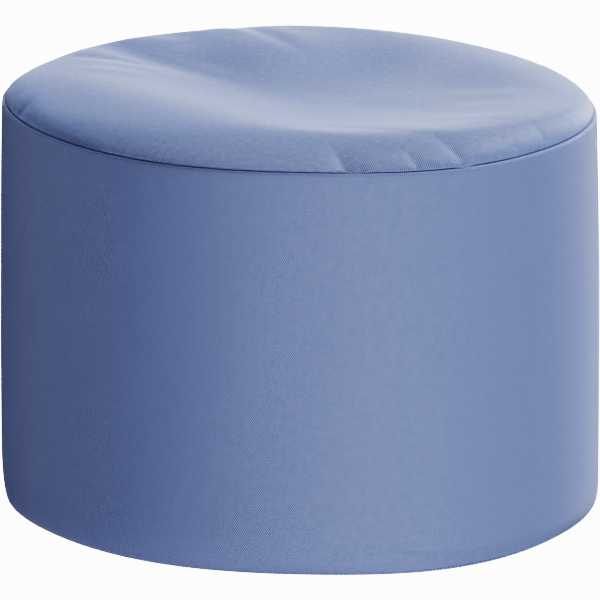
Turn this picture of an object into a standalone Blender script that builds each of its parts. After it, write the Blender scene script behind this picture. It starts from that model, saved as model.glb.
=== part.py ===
"""Bean bag footstool: a filled drum, a slack top panel sewn round its edge, and a base panel.

Metres, +Z up. The origin is on the floor, under the middle of the stool; the front is -Y.
Azimuths run anticlockwise seen from above: 0 is the right side, 90 the back, 270 the front.
"""

import functools
import math
from collections import namedtuple

import bmesh
import bpy
from mathutils import Vector

# Driving dimensions
CLOTH = 0.002  # thickness of a sewn panel
GAP = 0.0003  # kept between two pieces that touch
BULGE = 0.0017  # how far the side swells at half its height
SEAM_DRAW = 0.003  # how far the seam draws the cloth in
SHOULDER = 0.006  # height of the side band's roll into the seam
TOUCH = 0.0002  # height on the foot's rounding where the base panel's edge lies
RIM_SOFTNESS = 0.0016  # how softly the border runs over into the top
RIM_POWER = 1.5  # how late, going out from the middle, the uneven rim shows
TILT_POWER = 2.0  # the same, for the uneven height of the seam
GATHER_START = 0.004  # how far in from the seam a gather has its full height
GATHER_CREST = 0.3  # where along its reach a gather is highest
GATHER_SPAN = 0.5  # share of its reach over which a gather fades from there

# Mesh
COLUMNS = 120  # round the stool
FRONT_CROWDING = 0.45  # share by which the columns stand closer at the front
TOP_RINGS = 14  # from the seam to the middle of the top
TOP_RING_POWER = 1.5  # over 1 crowds the rings at the seam
SIDE_RINGS = 3
FOOT_RINGS = 5
SHOULDER_RINGS = 3
SLOPE_STEP = 0.004  # share of the radius over which the top's slope is taken
SLOPE_TURN = 0.02  # radians over which it is taken the other way
MERGE = 0.000001
SHARP_ANGLE = 50  # degrees

CLOTH_COLOUR = (0.26, 0.335, 0.60)
CLOTH_ROUGHNESS = 0.9

# The stool's uneven form, one row for each 30 degrees round it. The seam and the foot give the side;
# foot_draw and foot_height are the depth and height of the rounding at the floor. rim_rise and border
# are the height and width of the top's rim, and border_power is how it rises: steepest at the seam
# where it is small, nearly straight where it is near 1.
Station = namedtuple(
    "Station",
    "azimuth seam_height seam_radius foot_radius foot_draw foot_height "
    "rim_rise border border_power",
)
STATIONS = (
    Station(0, 0.3360, 0.2480, 0.2520, 0.0040, 0.014, 0.0140, 0.020, 0.42),
    Station(30, 0.3380, 0.2475, 0.2515, 0.0070, 0.016, 0.0200, 0.068, 0.36),
    Station(60, 0.3405, 0.2480, 0.2510, 0.0080, 0.022, 0.0213, 0.048, 0.48),
    Station(90, 0.3430, 0.2490, 0.2515, 0.0080, 0.028, 0.0228, 0.057, 0.76),
    Station(120, 0.3440, 0.2495, 0.2520, 0.0070, 0.034, 0.0268, 0.069, 0.66),
    Station(150, 0.3450, 0.2495, 0.2530, 0.0050, 0.040, 0.0295, 0.053, 0.80),
    Station(180, 0.3475, 0.2500, 0.2525, 0.0050, 0.045, 0.0268, 0.051, 0.52),
    Station(210, 0.3458, 0.2490, 0.2500, 0.0145, 0.045, 0.0232, 0.041, 0.58),
    Station(240, 0.3427, 0.2495, 0.2495, 0.0150, 0.042, 0.0213, 0.049, 0.66),
    Station(270, 0.3415, 0.2495, 0.2505, 0.0145, 0.035, 0.0175, 0.053, 0.68),
    Station(300, 0.3370, 0.2495, 0.2535, 0.0012, 0.016, 0.0260, 0.081, 0.36),
    Station(330, 0.3363, 0.2490, 0.2520, 0.0055, 0.014, 0.0200, 0.020, 0.36),
)
SEAM_LEVEL = sum(row.seam_height for row in STATIONS) / len(STATIONS)
RIM_LEVEL = sum(row.rim_rise for row in STATIONS) / len(STATIONS)

# The slack top's soft swells and hollows: the middle's place, the half sizes along and across, the
# turn of the long way from +X in degrees, and the rise, negative for a hollow.
Swell = namedtuple("Swell", "x y along across turn rise")
SWELLS = (
    Swell(-0.080, -0.126, 0.272, 0.172, 101, -0.0130),  # the wide dip of the left and front
    Swell(-0.084, -0.124, 0.220, 0.078, -43, 0.0148),  # the flat shoulder across it
    Swell(-0.122, 0.078, 0.078, 0.024, -46, -0.0058),  # the crease behind the shoulder
    Swell(-0.116, 0.158, 0.114, 0.026, -65, -0.0040),  # where that crease runs out
    Swell(0.054, 0.056, 0.106, 0.062, 58, -0.0154),  # the hollow behind the middle
    Swell(-0.016, 0.102, 0.114, 0.090, -34, 0.0130),  # the back, which stands fuller
    Swell(-0.078, 0.204, 0.162, 0.034, 5, 0.0160),  # the back rim left of it
    Swell(0.124, 0.064, 0.158, 0.048, 92, -0.0100),  # the dip along the right
    Swell(0.110, 0.114, 0.100, 0.052, -85, 0.0116),  # the swell behind that dip
    Swell(0.062, -0.058, 0.058, 0.048, -20, -0.0050),  # the dish behind the front lip
    Swell(0.034, -0.118, 0.100, 0.052, -3, -0.0040),  # its front half
    Swell(-0.230, -0.088, 0.248, 0.048, -90, -0.0096),  # the low left rim
)

# Gathers at the seam of the top, from left to right: the azimuths where a gather meets the seam and
# where its inner end lies, how far in it reaches, its half width and its rise, negative for a trough.
Gather = namedtuple("Gather", "seam_azimuth inner_azimuth reach half_width rise")
GATHERS = (
    Gather(196.5, 194.0, 0.020, 0.008, -0.0012),
    Gather(231.5, 230.5, 0.022, 0.009, -0.0008),
    Gather(276.5, 274.0, 0.040, 0.009, 0.0008),
    Gather(281.0, 278.5, 0.046, 0.010, -0.0020),
    Gather(294.5, 292.5, 0.028, 0.009, -0.0012),
    Gather(299.5, 296.0, 0.036, 0.009, 0.0010),
    Gather(304.0, 300.5, 0.038, 0.010, -0.0026),
    Gather(324.5, 326.5, 0.026, 0.010, -0.0020),
)


@functools.lru_cache(maxsize=None)
def around(column, azimuth):
    """A station column's value at an azimuth in radians, run smoothly from row to row."""
    values = [row[Station._fields.index(column)] for row in STATIONS]
    place = azimuth % math.tau / math.tau * len(values)
    row = int(place)
    part = place - row
    before, here, after, beyond = (values[(row + k) % len(values)] for k in (-1, 0, 1, 2))
    curve = 2 * before - 5 * here + 4 * after - beyond
    curve += part * (3 * (here - after) + beyond - before)
    return here + 0.5 * part * (after - before + part * curve)


def soft_minimum(*heights):
    """The lowest of some heights, with the corners between them rounded."""
    lowest = min(heights)
    total = sum(math.exp((lowest - height) / RIM_SOFTNESS) for height in heights)
    return lowest - RIM_SOFTNESS * math.log(total)


def swell_rise(x, y):
    """The swells' and hollows' rise above the plain top at a place."""
    rise = 0.0
    for swell in SWELLS:
        cos, sin = math.cos(math.radians(swell.turn)), math.sin(math.radians(swell.turn))
        along = ((x - swell.x) * cos + (y - swell.y) * sin) / swell.along
        across = ((y - swell.y) * cos - (x - swell.x) * sin) / swell.across
        rise += swell.rise * math.exp(-along * along - across * across)
    return rise


def gather_rise(azimuth, inward, radius):
    """The seam gathers' rise at a place that far in from the seam."""
    rise = 0.0
    for gather in GATHERS:
        share = inward / gather.reach
        line = gather.seam_azimuth + (gather.inner_azimuth - gather.seam_azimuth) * share
        aside = (azimuth - math.radians(line) + math.pi) % math.tau - math.pi
        across = aside * (radius - inward) / gather.half_width
        along = (share - GATHER_CREST) / GATHER_SPAN
        rise += gather.rise * math.exp(-across * across - along * along)
    return rise * min(1.0, inward / GATHER_START)


def top_outer(azimuth, fraction):
    """A point of the top's outer face; the fraction is 1 at the seam and 0 in the middle."""
    radius = around("seam_radius", azimuth) - SEAM_DRAW
    out = radius * fraction
    inward = radius - out
    level = SEAM_LEVEL + (around("seam_height", azimuth) - SEAM_LEVEL) * fraction**TILT_POWER
    steepness = around("border_power", azimuth)
    border = around("rim_rise", azimuth) * (inward / around("border", azimuth)) ** steepness
    plain = RIM_LEVEL + (around("rim_rise", azimuth) - RIM_LEVEL) * fraction**RIM_POWER
    plain += swell_rise(out * math.cos(azimuth), out * math.sin(azimuth))
    height = level + soft_minimum(border, plain) + gather_rise(azimuth, inward, radius)
    return ring_point(azimuth, out, height)


def top_slopes(azimuth, fraction):
    """The top's outward unit tangent and its upward unit normal."""
    if fraction < SLOPE_STEP:
        return Vector((math.cos(azimuth), math.sin(azimuth), 0)), Vector((0, 0, 1))
    inner = top_outer(azimuth, fraction - SLOPE_STEP)
    outer = top_outer(azimuth, min(fraction + SLOPE_STEP, 1.0))
    outward = (outer - inner).normalized()
    sideways = top_outer(azimuth + SLOPE_TURN, fraction) - top_outer(azimuth - SLOPE_TURN, fraction)
    return outward, outward.cross(sideways).normalized()


def top_point(azimuth, fraction, depth=0.0, past=0.0):
    """A point that deep under the top's outer face, and that far out past it along its slope."""
    outward, up = top_slopes(azimuth, fraction)
    return top_outer(azimuth, fraction) - up * depth + outward * past


def ring_point(azimuth, radius, height):
    """A point at a radius and a height."""
    return Vector((radius * math.cos(azimuth), radius * math.sin(azimuth), height))


def side_radius(azimuth, height):
    """The side's radius at a height, before the foot and the shoulder are rounded."""
    share = height / around("seam_height", azimuth)
    foot, seam = around("foot_radius", azimuth), around("seam_radius", azimuth)
    return foot + (seam - foot) * share + BULGE * 4 * share * (1 - share)


def foot_point(azimuth, share, floor=CLOTH + GAP):
    """A point of the foot's rounding; the share is 0 at the floor's height and 1 on the side."""
    rise = around("foot_height", azimuth)
    start = math.acos(1 - floor / rise)
    bend = start + share * (math.pi / 2 - start)
    height = rise * (1 - math.cos(bend))
    draw = around("foot_draw", azimuth) * (1 - math.sin(bend))
    return ring_point(azimuth, side_radius(azimuth, height) - draw, height)


def side_point(azimuth, share):
    """A point of the upright side; the share is 0 above the foot and 1 below the shoulder."""
    low = around("foot_height", azimuth)
    height = low + (around("seam_height", azimuth) - SHOULDER - low) * share
    return ring_point(azimuth, side_radius(azimuth, height), height)


def shoulder_point(azimuth, share):
    """A point of the side band's roll into the seam; the share is 1 at the seam."""
    start = side_point(azimuth, 1.0)
    end = top_point(azimuth, 1.0, past=GAP)
    bend = share * math.pi / 2
    radius = start.xy.length + (end.xy.length - start.xy.length) * (1 - math.cos(bend))
    return ring_point(azimuth, radius, start.z + (end.z - start.z) * math.sin(bend))


def shares(count):
    """Even shares from 0 up to, but not at, 1."""
    return [step / count for step in range(count)]


def top_fractions():
    """The top's ring fractions, from the seam to the middle."""
    return [1 - share**TOP_RING_POWER for share in shares(TOP_RINGS)] + [0.0]


def crowded_azimuth(turn):
    """The azimuth of a column, for a turn of 0 to 1; the columns stand closer at the front."""
    even = math.tau * turn
    return even + FRONT_CROWDING * math.cos(even)


def drum_rings():
    """The drum's section as functions of the azimuth, from its middle below to its middle above."""
    under = CLOTH + GAP
    rings = [lambda azimuth: Vector((0, 0, under))]
    rings += [lambda azimuth, at=share: foot_point(azimuth, at) for share in shares(FOOT_RINGS)]
    rings += [lambda azimuth, at=share: side_point(azimuth, at) for share in shares(SIDE_RINGS)]
    rings += [lambda azimuth, at=share: shoulder_point(azimuth, at) for share in shares(SHOULDER_RINGS)]
    rings.append(lambda azimuth: top_point(azimuth, 1.0, past=GAP))
    rings.append(lambda azimuth: top_point(azimuth, 1.0, depth=under, past=GAP))
    return rings + [lambda azimuth, at=f: top_point(azimuth, at, depth=under) for f in top_fractions()]


def top_panel_rings():
    """The top panel's section, from its middle below, round its edge, to its middle above."""
    fractions = top_fractions()
    rings = [lambda azimuth, at=f: top_point(azimuth, at, depth=CLOTH) for f in reversed(fractions)]
    return rings + [lambda azimuth, at=f: top_point(azimuth, at) for f in fractions]


def base_panel_rings():
    """The base panel's section, from its middle below, round its edge, to its middle above."""
    return [
        lambda azimuth: Vector((0, 0, 0)),
        lambda azimuth: ring_point(azimuth, foot_point(azimuth, 0.0, TOUCH).xy.length, 0),
        lambda azimuth: ring_point(azimuth, foot_point(azimuth, 0.0, TOUCH).xy.length, CLOTH),
        lambda azimuth: Vector((0, 0, CLOTH)),
    ]


def cloth_material(name):
    """Matt woven cloth."""
    material = bpy.data.materials.new(name)
    material.use_nodes = True
    shader = material.node_tree.nodes["Principled BSDF"]
    shader.inputs["Base Color"].default_value = (*CLOTH_COLOUR, 1)
    shader.inputs["Roughness"].default_value = CLOTH_ROUGHNESS
    shader.inputs["Metallic"].default_value = 0.0
    return material


def rolled_body(name, rings, collection):
    """A flat grid rolled round into a closed body, its rows laid on the rings of a section."""
    mesh = bpy.data.meshes.new(name)
    bm = bmesh.new()
    last = len(rings) - 1
    bmesh.ops.create_grid(bm, x_segments=COLUMNS, y_segments=last, size=0.5)
    for vertex in bm.verts:
        ring = rings[round((vertex.co.y + 0.5) * last)]
        vertex.co = ring(crowded_azimuth(vertex.co.x + 0.5))
    bmesh.ops.remove_doubles(bm, verts=bm.verts, dist=MERGE)
    bmesh.ops.recalc_face_normals(bm, faces=bm.faces)
    bmesh.ops.triangulate(bm, faces=bm.faces)
    bm.to_mesh(mesh)
    bm.free()
    mesh.shade_smooth()
    mesh.set_sharp_from_angle(angle=math.radians(SHARP_ANGLE))
    mesh.materials.append(cloth_material(name + "_cloth"))
    collection.objects.link(bpy.data.objects.new(name, mesh))


for old in list(bpy.data.objects):
    bpy.data.objects.remove(old, do_unlink=True)

stool = bpy.data.collections.new("bean_bag_footstool")
bpy.context.scene.collection.children.link(stool)

rolled_body("drum", drum_rings(), stool)
rolled_body("top_panel", top_panel_rings(), stool)
rolled_body("base_panel", base_panel_rings(), stool)
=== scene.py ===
import functools
import math
from collections import namedtuple

import bmesh
import bpy
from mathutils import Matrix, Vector, noise


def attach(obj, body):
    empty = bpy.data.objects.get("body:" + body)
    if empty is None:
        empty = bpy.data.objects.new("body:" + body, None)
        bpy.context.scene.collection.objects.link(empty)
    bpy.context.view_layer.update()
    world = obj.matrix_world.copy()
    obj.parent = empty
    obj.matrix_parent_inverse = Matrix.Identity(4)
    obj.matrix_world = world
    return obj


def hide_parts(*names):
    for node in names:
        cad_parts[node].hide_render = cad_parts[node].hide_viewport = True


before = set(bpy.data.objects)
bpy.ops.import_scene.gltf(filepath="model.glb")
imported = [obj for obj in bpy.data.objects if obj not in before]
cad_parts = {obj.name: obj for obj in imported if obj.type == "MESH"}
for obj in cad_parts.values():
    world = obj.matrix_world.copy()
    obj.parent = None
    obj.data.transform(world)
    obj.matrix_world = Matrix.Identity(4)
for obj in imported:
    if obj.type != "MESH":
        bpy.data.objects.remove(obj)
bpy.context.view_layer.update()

# Metres, +Z up. The stool stands on the floor round the Z axis, its front towards -Y. Azimuths run
# anticlockwise seen from above: 0 is the right side, 90 the back, 270 the front.


# ---------------------------------------------------------------------------------------------------
# The camera: a long lens from the front, a little above the stool, so that the top shows as a low
# ellipse and the side stands upright.
CAMERA_AWAY, CAMERA_HEIGHT = 6.8, 1.93
CAMERA_TILT = 14.5  # degrees down
CAMERA_LENS, CAMERA_FILM = 500.4, 36  # millimetres
CAMERA_SHIFT = -0.001  # share of the picture's width
CAMERA_REACH = 60  # past the far edge of the floor

camera = bpy.data.objects.new("camera", bpy.data.cameras.new("camera"))
bpy.context.scene.collection.objects.link(camera)
camera.location = (0.0, -CAMERA_AWAY, CAMERA_HEIGHT)
camera.rotation_euler = (math.radians(90 - CAMERA_TILT), 0.0, 0.0)
camera.data.sensor_width = CAMERA_FILM
camera.data.lens = CAMERA_LENS
camera.data.shift_x = CAMERA_SHIFT
camera.data.clip_end = CAMERA_REACH
bpy.context.scene.camera = camera


# ---------------------------------------------------------------------------------------------------
# The side: one long band of heavy blue twill, closed into a ring at the back, and the loose beads
# that fill it out. It rolls in to the seam under the top, where it is sewn to the top panel, and
# rounds off softly where it meets the floor. Its hidden upper face carries the top panel.
CLOTH = 0.002  # thickness of a panel
GAP = 0.0003  # kept between two pieces that touch
UNDERSIDE = CLOTH + GAP  # height of the side's flat underside, over the base panel
BACK_TURN = 0.25  # the back, where the band is closed, as a share of a turn
FRONT = 1.5 * math.pi  # azimuth of the front
BULGE = 0.0017  # how far the side swells at half its height
SEAM_DRAW = 0.003  # how far the seam draws the cloth in
SHOULDER = 0.0034  # height of the side band's roll into the seam
SHOULDER_DRAW = 0.0026  # depth of that roll
SEAM_SLIT = 0.0005  # height of the slit between the two turned edges
EDGE_ROLL = 0.0006  # radius of the top panel's roll down into the seam
TURN_IN = 0.0025  # how far the seam allowance goes in from there
EDGE_SOFTNESS = 0.0004  # how softly that roll runs over into the border
SPILL_OUT, SPILL_DOWN = 0.0015, 0.0014  # how far the top's edge swells over the seam at a tuck
SPILL_REACH = 0.006  # how far in from the seam that swelling runs out
TILT_POWER = 2.0  # how late, going out from the middle, the uneven height of the seam shows
RIM_POWER = 1.5  # the same, for the uneven rim
RIM_SOFTNESS = 0.0016  # how softly the border runs over into the top
TUCK_START = 0.0015  # how far in from the seam a tuck has its full depth
TUCK_SOFTNESS = 0.0008  # how sharp a tuck's crease is
FOLD_HALF = 0.45  # half the length of a fold, as a share of the way between its ends
FOLD_CUT = 0.3  # share of that way, past either end, where hardly anything of it is left
LUMP_SIZE, LUMP_RISE = 0.070, 0.0007  # the filling's soft unevenness on the side
LUMP_UPRIGHT = 0.6  # the lumps' size round the stool, as a share of their size up it
PUCKER_SIZE, PUCKER_RISE, PUCKER_REACH = 0.012, 0.0006, 0.018  # small puckers along the seam
PUCKER_UPRIGHT = 0.3  # their size along the seam, as a share of their size away from it
PUCKER_START = 0.004  # how far in from the seam they have their full height
SIDE_PUCKERS = 0.7  # share of their rise that the side has
HIDDEN_START = 0.0065  # how far in from the seam the side's hidden upper face starts
HIDDEN_RADIUS = 0.245  # the top's radius to the seam, near enough for that start
SLOPE_STEP = 0.004  # share of the radius over which the top's slope is taken
SLOPE_TURN = 0.02  # radians over which it is taken the other way
COLUMNS = 600  # round the stool
FRONT_CROWDING = 0.45  # share by which the columns stand closer at the front
FOOT_RINGS, SIDE_RINGS, SHOULDER_RINGS, HIDDEN_RINGS = 16, 44, 10, 14
MERGE = 0.000001  # points closer than this become one
SHARP_ANGLE = math.radians(60)  # past this an edge stays sharp

# The stool's uneven form, one row for each 30 degrees round it. The seam and the foot give the side;
# foot_draw and foot_height are the depth and height of the rounding at the floor. rim_rise and border
# are the height and width of the top's rim, and border_power is how it rises: steepest at the seam
# where it is small, nearly straight where it is near 1. The rows were fitted to the outline and the
# shading in the photograph, then rounded, and some were changed.
Station = namedtuple(
    "Station",
    "azimuth seam_height seam_radius foot_radius foot_draw foot_height "
    "rim_rise border border_power",
)
STATIONS = (
    Station(0, 0.3360, 0.2480, 0.2520, 0.0040, 0.014, 0.0140, 0.020, 0.42),
    Station(30, 0.3380, 0.2475, 0.2515, 0.0070, 0.016, 0.0200, 0.068, 0.36),
    Station(60, 0.3405, 0.2480, 0.2510, 0.0080, 0.022, 0.0213, 0.048, 0.48),
    Station(90, 0.3430, 0.2490, 0.2515, 0.0080, 0.028, 0.0228, 0.057, 0.76),
    Station(120, 0.3440, 0.2495, 0.2520, 0.0070, 0.034, 0.0268, 0.069, 0.66),
    Station(150, 0.3450, 0.2495, 0.2530, 0.0050, 0.040, 0.0295, 0.053, 0.80),
    Station(180, 0.3475, 0.2500, 0.2525, 0.0050, 0.045, 0.0268, 0.051, 0.52),
    Station(210, 0.3458, 0.2490, 0.2500, 0.0145, 0.045, 0.0232, 0.041, 0.58),
    Station(240, 0.3427, 0.2495, 0.2495, 0.0150, 0.042, 0.0213, 0.049, 0.66),
    Station(270, 0.3415, 0.2495, 0.2505, 0.0145, 0.035, 0.0175, 0.053, 0.68),
    Station(300, 0.3370, 0.2495, 0.2535, 0.0012, 0.016, 0.0260, 0.081, 0.36),
    Station(330, 0.3363, 0.2490, 0.2520, 0.0055, 0.014, 0.0200, 0.020, 0.36),
)
SEAM_LEVEL = sum(row.seam_height for row in STATIONS) / len(STATIONS)
RIM_LEVEL = sum(row.rim_rise for row in STATIONS) / len(STATIONS)

# The slack top's soft swells and hollows: the middle's place, the half sizes along and across, the
# turn of the long way from +X in degrees, and the rise, negative for a hollow. They were fitted to the
# shading too.
Swell = namedtuple("Swell", "x y along across turn rise")
SWELLS = (
    Swell(-0.080, -0.126, 0.272, 0.172, 101, -0.0130),  # the wide dip of the left and front
    Swell(-0.084, -0.124, 0.220, 0.078, -43, 0.0148),  # the flat shoulder across it
    Swell(-0.122, 0.078, 0.078, 0.024, -46, -0.0058),  # the crease behind the shoulder
    Swell(-0.116, 0.158, 0.114, 0.026, -65, -0.0040),  # where that crease runs out
    Swell(0.054, 0.056, 0.106, 0.062, 58, -0.0154),  # the hollow behind the middle
    Swell(-0.016, 0.102, 0.114, 0.090, -34, 0.0130),  # the back, which stands fuller
    Swell(-0.078, 0.204, 0.162, 0.034, 5, 0.0160),  # the back rim left of it
    Swell(0.124, 0.064, 0.158, 0.048, 92, -0.0100),  # the dip along the right
    Swell(0.110, 0.114, 0.100, 0.052, -85, 0.0116),  # the swell behind that dip
    Swell(0.062, -0.058, 0.058, 0.048, -20, -0.0050),  # the dish behind the front lip
    Swell(0.034, -0.118, 0.100, 0.052, -3, -0.0040),  # its front half
    Swell(-0.230, -0.088, 0.248, 0.048, -90, -0.0096),  # the low left rim
)

# Tucks at the seam of the top, from left to right: the azimuths in degrees where a crease meets the
# seam and where its inner end lies, how far in it reaches, the widths of its left and right flanks, and
# its depth. Some are fitted, some are given one by one.
Tuck = namedtuple("Tuck", "seam_azimuth inner_azimuth reach left right depth")
TUCKS = (
    Tuck(192.0, 188.0, 0.012, 0.003, 0.003, 0.0016),
    Tuck(198.5, 194.5, 0.020, 0.003, 0.007, 0.0036),
    Tuck(206.0, 205.0, 0.012, 0.018, 0.026, 0.0016),
    Tuck(231.5, 230.5, 0.022, 0.007, 0.005, 0.0015),
    Tuck(237.0, 236.0, 0.018, 0.006, 0.006, 0.0013),
    Tuck(278.8, 276.3, 0.046, 0.005, 0.013, 0.0036),
    Tuck(282.0, 281.0, 0.012, 0.005, 0.003, 0.0010),
    Tuck(292.8, 291.4, 0.026, 0.003, 0.010, 0.0034),
    Tuck(302.4, 300.8, 0.048, 0.009, 0.013, 0.0044),
    Tuck(316.5, 316.0, 0.009, 0.006, 0.008, 0.0021),
    Tuck(325.0, 326.5, 0.023, 0.008, 0.004, 0.0028),
    Tuck(341.0, 341.5, 0.009, 0.004, 0.004, 0.0004),
)

# Where the top's edge swells out beside a tuck and hides the seam: azimuth and half width, in degrees.
SPILLS = ((279.9, 1.7), (302.8, 1.4))

# Fine folds of the slack top: a fold's two ends, how far its middle bows aside, its half width, and
# its rise, negative for a valley. Most are fitted.
Fold = namedtuple("Fold", "x1 y1 x2 y2 bow half_width rise")
FOLDS = (
    Fold(-0.196, 0.074, -0.124, 0.050, 0.002, 0.010, -0.0012),
    Fold(-0.186, 0.022, -0.130, 0.004, 0.002, 0.013, 0.0008),
    Fold(-0.126, 0.136, -0.096, 0.124, -0.001, 0.012, 0.0010),
    Fold(-0.144, 0.114, -0.044, 0.012, -0.002, 0.011, 0.0010),
    Fold(-0.066, -0.008, -0.032, -0.092, -0.003, 0.021, 0.0006),
    Fold(-0.062, 0.176, 0.008, 0.082, -0.003, 0.009, -0.0011),
    Fold(-0.084, 0.178, -0.034, 0.122, -0.002, 0.009, 0.0006),
    Fold(-0.026, 0.154, -0.006, 0.124, 0.001, 0.010, 0.0006),
    Fold(0.114, -0.016, 0.192, -0.012, -0.001, 0.016, 0.0007),
    Fold(0.128, -0.056, 0.194, -0.054, -0.001, 0.009, 0.0002),
    Fold(0.110, -0.108, 0.184, -0.108, 0.000, 0.015, 0.0010),
    Fold(0.116, -0.150, 0.158, -0.122, 0.003, 0.013, 0.0008),
    Fold(0.002, -0.150, 0.116, -0.186, 0.001, 0.012, -0.0010),
    Fold(-0.012, -0.160, 0.080, -0.190, 0.000, 0.009, -0.0004),
    Fold(0.194, -0.086, 0.204, -0.118, 0.000, 0.005, -0.0003),
)


@functools.lru_cache(maxsize=None)
def around(column, azimuth):
    """A station column's value at an azimuth in radians, run smoothly from row to row."""
    values = [row[Station._fields.index(column)] for row in STATIONS]
    place = azimuth % math.tau / math.tau * len(values)
    row = int(place)
    part = place - row
    before, here, after, beyond = (values[(row + k) % len(values)] for k in (-1, 0, 1, 2))
    curve = 2 * before - 5 * here + 4 * after - beyond
    curve += part * (3 * (here - after) + beyond - before)
    return here + 0.5 * part * (after - before + part * curve)


def ring_point(azimuth, radius, height):
    """A point at a radius and a height."""
    return Vector((radius * math.cos(azimuth), radius * math.sin(azimuth), height))


def soft_minimum(softness, *heights):
    """The lowest of some heights, with the corners between them rounded."""
    lowest = min(heights)
    return lowest - softness * math.log(sum(math.exp((lowest - h) / softness) for h in heights))


def swell_rise(x, y):
    """The swells' and hollows' rise above the plain top at a place."""
    rise = 0.0
    for swell in SWELLS:
        cos, sin = math.cos(math.radians(swell.turn)), math.sin(math.radians(swell.turn))
        along = ((x - swell.x) * cos + (y - swell.y) * sin) / swell.along
        across = ((y - swell.y) * cos - (x - swell.x) * sin) / swell.across
        rise += swell.rise * math.exp(-along * along - across * across)
    return rise


def fold_rise(x, y):
    """The fine folds' rise at a place."""
    rise = 0.0
    for fold in FOLDS:
        run, climb = fold.x2 - fold.x1, fold.y2 - fold.y1
        length = math.hypot(run, climb)
        share = ((x - fold.x1) * run + (y - fold.y1) * climb) / length**2
        if -FOLD_CUT < share < 1 + FOLD_CUT:
            across = ((y - fold.y1) * run - (x - fold.x1) * climb) / length
            across = (across - fold.bow * 4 * share * (1 - share)) / fold.half_width
            along = (share - 0.5) / FOLD_HALF
            rise += fold.rise * math.exp(-across * across - along**4)
    return rise


def tuck_depth(azimuth, inward, radius):
    """How deep the tucks press the top in, at a place that far in from the seam."""
    depth = 0.0
    for tuck in TUCKS:
        share = inward / tuck.reach
        if share < 1:
            line = tuck.seam_azimuth + (tuck.inner_azimuth - tuck.seam_azimuth) * share
            aside = (azimuth - math.radians(line) + math.pi) % math.tau - math.pi
            aside *= radius - inward
            flank = tuck.left if aside < 0 else tuck.right
            sharp = (math.hypot(aside, TUCK_SOFTNESS) - TUCK_SOFTNESS) / flank
            depth += tuck.depth * math.exp(-sharp) * (1 - share**2) ** 2
    return depth * min(1.0, inward / TUCK_START)


def spill(azimuth):
    """How far, from 0 to 1, the top's edge swells out over the seam."""
    share = 0.0
    for middle, width in SPILLS:
        aside = (math.degrees(azimuth) - middle + 180) % 360 - 180
        share += math.exp(-((aside / width) ** 2))
    return share


def pucker(azimuth, away, seed):
    """The small puckers' rise at a place that far away from the seam."""
    place = ring_point(azimuth, around("seam_radius", azimuth), away * PUCKER_UPRIGHT + seed)
    return PUCKER_RISE * noise.noise(place / PUCKER_SIZE) * math.exp(-away / PUCKER_REACH)


def top_outer(azimuth, fraction):
    """A point of the top's outer face; the fraction is 1 at the seam and 0 in the middle."""
    radius = around("seam_radius", azimuth) - SEAM_DRAW
    out = radius * fraction
    inward = radius - out
    level = SEAM_LEVEL + (around("seam_height", azimuth) - SEAM_LEVEL) * fraction**TILT_POWER
    steepness = around("border_power", azimuth)
    border = around("rim_rise", azimuth) * (inward / around("border", azimuth)) ** steepness
    bend = 1 - min(1.0, inward / EDGE_ROLL)
    roll = EDGE_ROLL * (1 + math.sqrt(1 - bend * bend))
    border = -soft_minimum(EDGE_SOFTNESS, -border, -roll)
    plain = RIM_LEVEL + (around("rim_rise", azimuth) - RIM_LEVEL) * fraction**RIM_POWER
    plain += swell_rise(out * math.cos(azimuth), out * math.sin(azimuth))
    height = level + SEAM_SLIT / 2 + soft_minimum(RIM_SOFTNESS, border, plain)
    height += fold_rise(out * math.cos(azimuth), out * math.sin(azimuth))
    height += pucker(azimuth, inward, 0.0) * min(1.0, inward / PUCKER_START)
    height -= tuck_depth(azimuth, inward, radius)
    over = spill(azimuth) * math.exp(-inward / SPILL_REACH)
    return ring_point(azimuth, out + SPILL_OUT * over, height - SPILL_DOWN * over)


def top_edge(azimuth, share, turn_in=0.0):
    """A point of the top's roll down into the seam, from 0 at its outer face to 1 at the slit."""
    start = top_outer(azimuth, 1.0)
    bend = share * math.pi / 2
    out = start.xy.length - EDGE_ROLL * (1 - math.cos(bend)) - turn_in
    return ring_point(azimuth, out, start.z - EDGE_ROLL * math.sin(bend))


def top_point(azimuth, fraction, depth):
    """A point that deep under the top's outer face."""
    if fraction < SLOPE_STEP:
        return top_outer(azimuth, fraction) - Vector((0, 0, depth))
    inner = top_outer(azimuth, fraction - SLOPE_STEP)
    outer = top_outer(azimuth, min(fraction + SLOPE_STEP, 1.0))
    outward = (outer - inner).normalized()
    sideways = top_outer(azimuth + SLOPE_TURN, fraction) - top_outer(azimuth - SLOPE_TURN, fraction)
    up = outward.cross(sideways).normalized()
    return top_outer(azimuth, fraction) - up * depth


def side_radius(azimuth, height):
    """The side's radius at a height, before the foot and the shoulder are rounded."""
    share = height / around("seam_height", azimuth)
    foot, seam = around("foot_radius", azimuth), around("seam_radius", azimuth)
    radius = foot + (seam - foot) * share + BULGE * 4 * share * (1 - share)
    lump = noise.noise(ring_point(azimuth, seam, height * LUMP_UPRIGHT) / LUMP_SIZE)
    radius += LUMP_RISE * lump * math.sin(math.pi * share)
    away = max(0.0, around("seam_height", azimuth) - height)
    return radius + pucker(azimuth, away, 1.0) * SIDE_PUCKERS


def foot_point(azimuth, share, bottom=UNDERSIDE):
    """A point of the foot's rounding; the share is 0 at the bottom's height and 1 on the side."""
    rise = around("foot_height", azimuth)
    start = math.acos(1 - bottom / rise)
    bend = start + share * (math.pi / 2 - start)
    height = rise * (1 - math.cos(bend))
    draw = around("foot_draw", azimuth) * (1 - math.sin(bend))
    return ring_point(azimuth, side_radius(azimuth, height) - draw, height)


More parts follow.
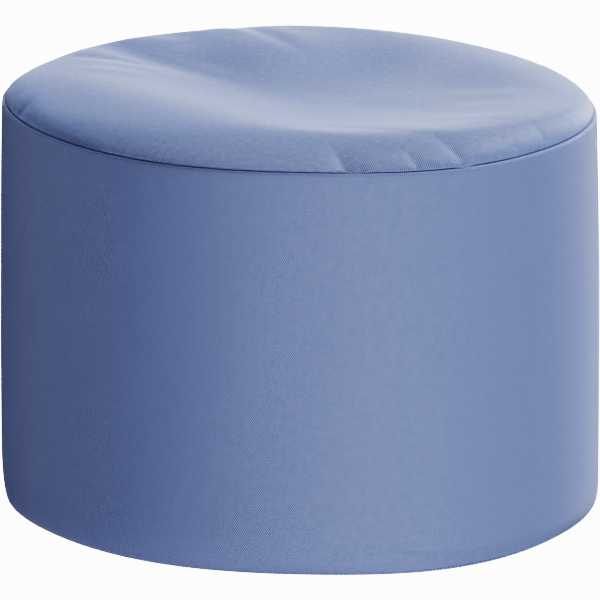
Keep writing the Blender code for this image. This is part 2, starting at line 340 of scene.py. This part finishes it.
def side_point(azimuth, share):
    """A point of the upright side; the share is 0 above the foot and 1 below the shoulder."""
    low = around("foot_height", azimuth)
    height = low + (around("seam_height", azimuth) - SHOULDER - low) * share
    return ring_point(azimuth, side_radius(azimuth, height), height)


def shoulder_point(azimuth, share, turn_in=0.0):
    """A point of the side band's roll into the seam; the share is 1 at the slit."""
    start = side_point(azimuth, 1.0)
    end = around("seam_height", azimuth) - SEAM_SLIT / 2
    bend = share * math.pi / 2
    out = start.xy.length - SHOULDER_DRAW * (1 - math.cos(bend)) - turn_in
    return ring_point(azimuth, out, start.z + (end - start.z) * math.sin(bend))


def shares(count):
    """Even shares from 0 up to, but not at, 1."""
    return [step / count for step in range(count)]


def crowded_azimuth(turn):
    """The azimuth of a column, for a turn of 0 to 1 from the back; they stand closer in front."""
    even = math.tau * turn
    return math.tau * BACK_TURN + even + FRONT_CROWDING * math.sin(even)


def rolled_body(name, rings, flat_place):
    """A flat grid rolled round into a body, its rows laid on the rings of a section. The weave follows
    each point's place on the flat cloth, for its azimuth and its way along the section."""
    mesh = bpy.data.meshes.new(name)
    bm = bmesh.new()
    last = len(rings) - 1
    bmesh.ops.create_grid(bm, x_segments=COLUMNS, y_segments=last, size=0.5)
    lengths = [0.0]
    for lower, upper in zip(rings, rings[1:]):
        lengths.append(lengths[-1] + (upper(FRONT) - lower(FRONT)).length)
    cloth = bm.loops.layers.uv.new("cloth")
    for face in bm.faces:
        for loop in face.loops:
            azimuth = crowded_azimuth(loop.vert.co.x + 0.5)
            loop[cloth].uv = flat_place(azimuth, lengths[round((loop.vert.co.y + 0.5) * last)])
    for vertex in bm.verts:
        ring = rings[round((vertex.co.y + 0.5) * last)]
        vertex.co = ring(crowded_azimuth(vertex.co.x + 0.5))
    bmesh.ops.remove_doubles(bm, verts=bm.verts, dist=MERGE)
    bmesh.ops.recalc_face_normals(bm, faces=bm.faces)
    bm.to_mesh(mesh)
    bm.free()
    mesh.shade_smooth()
    mesh.set_sharp_from_angle(angle=SHARP_ANGLE)
    body = bpy.data.objects.new(name, mesh)
    bpy.context.scene.collection.objects.link(body)
    return body


# A weave: how far apart its yarns lie across and up the cloth, in mm, how strongly the slant that falls
# and the one that rises show in the painted shade and the relief, and how far the dye is lighter and
# darker in patches.
Weave = namedtuple("Weave", "across up falling rising mottle")
BAND_WEAVE = Weave(across=1.8, up=2.7, falling=0.42, rising=0.58, mottle=0.1)
BAND_REPEATS = 872  # of the yarns, round the band
MM = 1000  # in a metre
GIRTH = BAND_REPEATS * BAND_WEAVE.across / MM  # the band's length in the weave's own measure
DYE = (0.262, 0.338, 0.620, 1)
YARN_PAINTED_SHADE = 0.5  # painted shade and highlight: share by which the dye is painted darker between the yarns and lighter on them, for the shade and light of their relief
FADED_WEAVE_SHOWING = 0.3  # share of that painted shade, and of the yarns' relief, which is left where the weave fades on the top
SLUB_SCALE, SLUB_DETAIL = 0.16, 2  # the yarns show more in some places than in others
SLUB_LOW, SLUB_HIGH = 0.35, 0.65  # noise values at which they show least and most
SLUB_LEAST = 0.5  # share of the yarns' strength where they show least
PATCH_SCALE, PATCH_DETAIL = 0.2, 4  # of the lighter and darker dye
YARN_HEIGHT, YARN_RELIEF = 0.0002, 0.8  # how high they stand, and how strongly the light shows it
CLOTH_ROUGHNESS, CLOTH_SHINE = 0.59, 0.48
NAP, NAP_ROUGHNESS = 0.22, 0.3  # the soft light that the fibre ends catch


def twill(name, weave):
    """Heavy matt twill, dyed in one blue, with yarns that slant both ways; the shade between its yarns
    and the light on them are painted into its colour.
    """
    material = bpy.data.materials.new(name)
    material.use_nodes = True
    nodes, links = material.node_tree.nodes, material.node_tree.links
    shader = nodes["Principled BSDF"]

    place = nodes.new("ShaderNodeUVMap")
    place.uv_map = "cloth"
    millimetres = nodes.new("ShaderNodeMapping")
    millimetres.inputs["Scale"].default_value = (MM, MM, MM)
    links.new(place.outputs["UV"], millimetres.inputs["Vector"])

    ribs = []
    for slant, strength in ((1, weave.falling), (-1, weave.rising)):
        along = nodes.new("ShaderNodeVectorMath")
        along.operation = "DOT_PRODUCT"
        along.inputs[1].default_value = (math.tau / weave.across, slant * math.tau / weave.up, 0)
        links.new(millimetres.outputs["Vector"], along.inputs[0])
        wave = nodes.new("ShaderNodeMath")
        wave.operation = "SINE"
        links.new(along.outputs["Value"], wave.inputs[0])
        rib = nodes.new("ShaderNodeMath")
        rib.operation = "MULTIPLY"
        rib.inputs[1].default_value = strength
        links.new(wave.outputs["Value"], rib.inputs[0])
        ribs.append(rib)
    yarns = nodes.new("ShaderNodeMath")
    links.new(ribs[0].outputs["Value"], yarns.inputs[0])
    links.new(ribs[1].outputs["Value"], yarns.inputs[1])

    slubs = nodes.new("ShaderNodeTexNoise")
    slubs.inputs["Scale"].default_value = SLUB_SCALE
    slubs.inputs["Detail"].default_value = SLUB_DETAIL
    links.new(millimetres.outputs["Vector"], slubs.inputs["Vector"])
    showing = nodes.new("ShaderNodeMapRange")
    showing.inputs["From Min"].default_value = SLUB_LOW
    showing.inputs["From Max"].default_value = SLUB_HIGH
    showing.inputs["To Min"].default_value = SLUB_LEAST
    showing.inputs["To Max"].default_value = 1.0
    links.new(slubs.outputs["Fac"], showing.inputs["Value"])
    relief = nodes.new("ShaderNodeMath")
    relief.operation = "MULTIPLY"
    links.new(yarns.outputs["Value"], relief.inputs[0])
    links.new(showing.outputs["Result"], relief.inputs[1])

    weave_fade = nodes.new("ShaderNodeAttribute")  # painted shade: the yarn shade painted into the colour, and the relief, fade where this mark is set
    weave_fade.attribute_name = "weave_fade"
    weave_fading = nodes.new("ShaderNodeMapRange")
    weave_fading.inputs["To Min"].default_value = 1.0
    weave_fading.inputs["To Max"].default_value = FADED_WEAVE_SHOWING
    links.new(weave_fade.outputs["Fac"], weave_fading.inputs["Value"])
    yarns_shown = nodes.new("ShaderNodeMath")
    yarns_shown.operation = "MULTIPLY"
    links.new(relief.outputs["Value"], yarns_shown.inputs[0])
    links.new(weave_fading.outputs["Result"], yarns_shown.inputs[1])

    cloud = nodes.new("ShaderNodeTexNoise")
    cloud.inputs["Scale"].default_value = PATCH_SCALE
    cloud.inputs["Detail"].default_value = PATCH_DETAIL
    links.new(millimetres.outputs["Vector"], cloud.inputs["Vector"])
    patches = nodes.new("ShaderNodeMath")
    patches.operation = "MULTIPLY_ADD"
    patches.inputs[1].default_value = weave.mottle / YARN_PAINTED_SHADE
    links.new(cloud.outputs["Fac"], patches.inputs[0])
    links.new(yarns_shown.outputs["Value"], patches.inputs[2])

    shade = nodes.new("ShaderNodeMapRange")  # painted shade: the dye is painted darker between the yarns and lighter on them
    shade.clamp = False
    shade.inputs["From Min"].default_value = -1
    shade.inputs["From Max"].default_value = 1
    shade.inputs["To Min"].default_value = 1 - YARN_PAINTED_SHADE - weave.mottle / 2
    shade.inputs["To Max"].default_value = 1 + YARN_PAINTED_SHADE - weave.mottle / 2
    links.new(patches.outputs["Value"], shade.inputs["Value"])
    # painted shade: the dye multiplied by the painted yarn shade and its random patches
    dyed_and_shaded = nodes.new("ShaderNodeMixRGB")
    dyed_and_shaded.blend_type = "MULTIPLY"
    dyed_and_shaded.inputs["Fac"].default_value = 1.0
    dyed_and_shaded.inputs["Color1"].default_value = DYE
    links.new(shade.outputs["Result"], dyed_and_shaded.inputs["Color2"])
    links.new(dyed_and_shaded.outputs["Color"], shader.inputs["Base Color"])

    bump = nodes.new("ShaderNodeBump")
    bump.inputs["Strength"].default_value = YARN_RELIEF
    bump.inputs["Distance"].default_value = YARN_HEIGHT
    links.new(yarns_shown.outputs["Value"], bump.inputs["Height"])
    links.new(bump.outputs["Normal"], shader.inputs["Normal"])

    shader.inputs["Roughness"].default_value = CLOTH_ROUGHNESS
    shader.inputs["Specular IOR Level"].default_value = CLOTH_SHINE
    shader.inputs["Sheen Weight"].default_value = NAP
    shader.inputs["Sheen Roughness"].default_value = NAP_ROUGHNESS
    return material


def flat_band(azimuth, length):
    """A place of the side on its flat band, from the back round it and up it."""
    return GIRTH * (azimuth / math.tau - BACK_TURN), length


side_rings = [lambda azimuth: Vector((0, 0, UNDERSIDE))]
side_rings += [lambda azimuth, at=share: foot_point(azimuth, at) for share in shares(FOOT_RINGS)]
side_rings += [lambda azimuth, at=share: side_point(azimuth, at) for share in shares(SIDE_RINGS)]
side_rings += [
    lambda azimuth, at=share: shoulder_point(azimuth, at) for share in shares(SHOULDER_RINGS)
]
side_rings.append(lambda azimuth: shoulder_point(azimuth, 1.0))
side_rings.append(lambda azimuth: shoulder_point(azimuth, 1.0, TURN_IN))
hidden = 1 - HIDDEN_START / HIDDEN_RADIUS
side_rings += [
    lambda azimuth, at=hidden * (1 - share): top_point(azimuth, at, CLOTH)
    for share in shares(HIDDEN_RINGS)
]
side_rings.append(lambda azimuth: top_point(azimuth, 0.0, CLOTH))
side = rolled_body("side", side_rings, flat_band)
side.data.materials.append(twill("side_twill", BAND_WEAVE))
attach(side, "root")
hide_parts("drum")


# ---------------------------------------------------------------------------------------------------
# The top panel: a round of the same twill, cut a little larger than the stool so that it lies slack.
# It is sewn to the side band all round with its edge turned in, and sags into the beads behind the
# front lip, so that a crease runs across it from the left.
TOP_CLOTH = 0.001  # thickness of the cloth itself
TOP_RINGS = 74  # from the seam to the middle
TOP_RING_POWER = 1.6  # over 1 crowds the rings at the seam
EDGE_RINGS = 4  # in its roll down into the seam
FULL_WEAVE_FROM, FULL_WEAVE_FADE = 0.222, 0.030  # the painted yarn shade and the relief show fully on the border out from this radius, and fade inwards
FULL_WEAVE_ASIDE, FULL_WEAVE_ASIDE_FADE = 0.110, 0.090  # and they fade out this far to either side too
TOP_WEAVE = Weave(across=1.85, up=4.4, falling=0.75, rising=0.25, mottle=0.48)


def flat_round(azimuth, length):
    """A place of a round panel on its flat cloth, that far from its middle."""
    return length * math.cos(azimuth), length * math.sin(azimuth)


top_rings = [
    lambda azimuth, at=1 - share**TOP_RING_POWER: top_outer(azimuth, at)
    for share in shares(TOP_RINGS)
]
top_rings.append(lambda azimuth: top_outer(azimuth, 0.0))
top_rings.reverse()
top_rings += [
    lambda azimuth, at=step / EDGE_RINGS: top_edge(azimuth, at)
    for step in range(1, EDGE_RINGS + 1)
]
top_rings.append(lambda azimuth: top_edge(azimuth, 1.0, TURN_IN))
top_panel = rolled_body("top_cover", top_rings, flat_round)
# painted shade: the weave's painted shade, and its relief, fade over the top's flat middle and towards
# its left and right, where the top is seen most aslant
weave_fade = top_panel.data.attributes.new("weave_fade", "FLOAT", "POINT")
for vertex, mark in zip(top_panel.data.vertices, weave_fade.data):
    inward = max(0.0, min(1.0, (FULL_WEAVE_FROM - vertex.co.xy.length) / FULL_WEAVE_FADE))
    aside = max(0.0, min(1.0, (abs(vertex.co.x) - FULL_WEAVE_ASIDE) / FULL_WEAVE_ASIDE_FADE))
    mark.value = max(inward, aside)
thickness = top_panel.modifiers.new("cloth", "SOLIDIFY")
thickness.thickness = TOP_CLOTH
thickness.offset = -1
top_panel.data.materials.append(twill("top_twill", TOP_WEAVE))
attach(top_panel, "root")
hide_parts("top_panel")


# ---------------------------------------------------------------------------------------------------
# The base panel: a round of the same twill, sewn in under the foot. It lies flat on the floor and its
# edge follows the foot's uneven outline, a little inside it.
BASE_RINGS = 24  # from the middle to the edge
BASE_TOUCH = 0.0002  # height on the foot's rounding where its edge lies


def base_edge(azimuth):
    """The base panel's radius."""
    return foot_point(azimuth, 0.0, BASE_TOUCH).xy.length


base_rings = [
    lambda azimuth, at=share: ring_point(azimuth, base_edge(azimuth) * at, 0.0)
    for share in shares(BASE_RINGS) + [1.0]
]
base_panel = rolled_body("base_cover", base_rings, flat_round)
thickness = base_panel.modifiers.new("cloth", "SOLIDIFY")
thickness.thickness = CLOTH
base_panel.data.materials.append(twill("base_twill", BAND_WEAVE))
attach(base_panel, "root")
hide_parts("base_panel")


# ---------------------------------------------------------------------------------------------------
# The floor: a wide plain white studio floor, a hair below the base panel. It glows by itself, so that
# the background stays plain and no shadow shows on it. Two of the lamps of the next section stand in
# for the light that it would throw back at the stool.
FLOOR_RADIUS = 30
FLOOR_SIDES = 96
FLOOR_GREY = (0.12, 0.12, 0.12, 1)
FLOOR_GLOW = 6
WHITE = (1, 1, 1, 1)

bm = bmesh.new()
bmesh.ops.create_circle(bm, cap_ends=True, segments=FLOOR_SIDES, radius=FLOOR_RADIUS)
bmesh.ops.translate(bm, verts=bm.verts, vec=(0, 0, -GAP))
floor_mesh = bpy.data.meshes.new("floor")
bm.to_mesh(floor_mesh)
bm.free()
floor = bpy.data.objects.new("floor", floor_mesh)
bpy.context.scene.collection.objects.link(floor)
paper = bpy.data.materials.new("white_paper")
paper.use_nodes = True
shader = paper.node_tree.nodes["Principled BSDF"]
shader.inputs["Base Color"].default_value = FLOOR_GREY
shader.inputs["Roughness"].default_value = 1.0
shader.inputs["Specular IOR Level"].default_value = 0.0
shader.inputs["Emission Color"].default_value = WHITE
shader.inputs["Emission Strength"].default_value = FLOOR_GLOW
floor_mesh.materials.append(paper)
floor.visible_diffuse = False
floor.visible_glossy = False
floor.visible_shadow = False


# ---------------------------------------------------------------------------------------------------
# The light: a bright studio. Large soft lights stand behind the stool, the strongest high up on the
# right, so that the top shines and the right edge glows. In front, light only comes up from the floor,
# most of it a little to the right, so the left side stays darkest.
LIGHT_SIZE = 25  # degrees across, seen from the stool

# Azimuths and heights are in degrees. The strengths were fitted to the shading in the photograph, then
# rounded.
Light = namedtuple("Light", "name azimuth height strength red green blue")
LIGHTS = (
    Light("overhead", 0, 90, 0.25, 1.0, 1.0, 1.0),
    Light("high_back_right", 45, 50, 2.04, 0.92, 0.965, 1.01),
    Light("high_back", 90, 50, 0.27, 1.0, 1.0, 1.0),
    Light("low_back_right", 60, 5, 1.12, 1.0, 1.0, 1.0),
    Light("low_back", 90, 5, 0.57, 1.0, 1.0, 1.0),
    Light("low_back_left", 150, 5, 0.72, 0.95, 1.0, 1.15),
    Light("floor_bounce", 286, -20, 1.48, 1.0, 1.0, 1.0),
    Light("floor_bounce_right", 318, -20, 0.66, 1.0, 1.0, 1.0),
)
for light in LIGHTS:
    data = bpy.data.lights.new(light.name, "SUN")
    data.energy = light.strength
    data.color = (light.red, light.green, light.blue)
    data.angle = math.radians(LIGHT_SIZE)
    lamp = bpy.data.objects.new(light.name, data)
    bpy.context.scene.collection.objects.link(lamp)
    lamp.rotation_euler = (
        math.radians(90 - light.height),
        0.0,
        math.radians(light.azimuth + 90),
    )

world = bpy.data.worlds.new("studio")  # dark, as the lamps give all the stool's light
world.use_nodes = True
world.node_tree.nodes["Background"].inputs["Strength"].default_value = 0.0
bpy.context.scene.world = world
bpy.context.scene.view_settings.view_transform = "Filmic"
bpy.context.scene.view_settings.look = "Very High Contrast"
